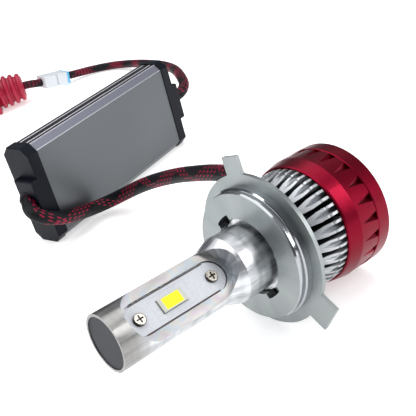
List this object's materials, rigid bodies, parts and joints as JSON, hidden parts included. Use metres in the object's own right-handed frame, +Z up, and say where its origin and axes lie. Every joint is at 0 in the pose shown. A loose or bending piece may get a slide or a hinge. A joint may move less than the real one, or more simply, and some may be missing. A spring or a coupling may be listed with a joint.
{
  "type": "led headlight bulb",
  "caption": "LED headlight bulb with a flanged cap, flat LED boards on a round stem, a finned heat sink with a fan in a red shroud, and a driver box with braided leads and a plug.",
  "frame": {"origin": "centre of the cap reference plane, the front face of its flange, on the lamp axis", "axes": "+Z up; +X is the horizontal direction of the lamp axis towards the LED tip, which rises 5.4 degrees because the lamp lies on its flange edge and shroud rim; the driver box stands on the -Y side"},
  "size_m": [0.1854, 0.3337, 0.0476],
  "materials": {
    "lamp_aluminium": "turned and milled, bright",
    "tip_paint": "matt dark grey",
    "board_mask": "white solder mask",
    "led_ceramic": "white moulded package",
    "phosphor": "yellow silicone",
    "screw_steel": "bright steel",
    "cap_metal": "satin front, polished edges",
    "black_rubber": "matt",
    "sink_aluminium": "forged, satin",
    "red_anodised": "red anodised aluminium, satin",
    "fan_plastic": "moulded black",
    "copper_wire": "enamelled copper",
    "motor_steel": "plain steel",
    "ferrite": "sintered",
    "circuit_green": "glass-epoxy board",
    "can_blue": "sleeved cans",
    "sleeve_anodised": "grey anodised, satin",
    "end_plastic": "moulded black",
    "braid": "braided polyester, black with red strands",
    "nylon_white": "moulded nylon",
    "plug_red": "moulded soft vinyl",
    "tinned_brass": "tinned"
  },
  "bodies": {
    "lamp": {"lamp_body": "lamp_aluminium", "tip_disc": "tip_paint", "led_board_front": "board_mask", "led_board_back": "board_mask", "led_package_front": "led_ceramic", "led_package_back": "led_ceramic", "led_phosphor_front": "phosphor", "led_phosphor_back": "phosphor", "board_screws": "screw_steel", "bayonet_pins": "screw_steel", "heat_sink": "sink_aluminium", "lamp_cable_gland": "black_rubber", "fan_shroud": "red_anodised", "fan_frame": "fan_plastic", "fan_bearing": "tinned_brass", "fan_circuit_board": "circuit_green", "fan_stator": "motor_steel", "fan_coils": "copper_wire", "driver_sleeve": "sleeve_anodised", "driver_end_lamp": "end_plastic", "driver_end_plug": "end_plastic", "grommet_lamp": "black_rubber", "grommet_plug": "black_rubber", "driver_circuit_board": "circuit_green", "driver_inductor": "ferrite", "driver_capacitors": "can_blue", "driver_transistors": "fan_plastic", "lamp_cable": "braid", "supply_lead": "braid", "plug_lead": "braid", "connector_plug_half": "nylon_white", "connector_socket_half": "nylon_white", "plug_boot": "plug_red", "plug_body": "plug_red", "plug_blade_left": "tinned_brass", "plug_blade_right": "tinned_brass", "plug_blade_top": "tinned_brass"},
    "seal": {"cap_seal": "black_rubber"},
    "cap": {"cap_flange": "cap_metal"},
    "rotor": {"fan_rotor": "fan_plastic", "fan_magnet": "ferrite", "fan_shaft": "motor_steel"}
  },
  "joints": [
    {"name": "cap_pull", "type": "slide", "parent": "lamp", "child": "seal", "axis": [0.9956, 0, 0.0936], "range_m": [0, 0.055]},
    {"name": "cap_twist", "type": "hinge", "parent": "seal", "child": "cap", "pos_m": [0, 0, 0], "axis": [0.9956, 0, 0.0936], "range_deg": [-22, 0]},
    {"name": "fan_spin", "type": "hinge", "parent": "lamp", "child": "rotor", "pos_m": [-0.02489, 0, -0.00234], "axis": [0.9956, 0, 0.0936], "continuous": true}
  ]
}
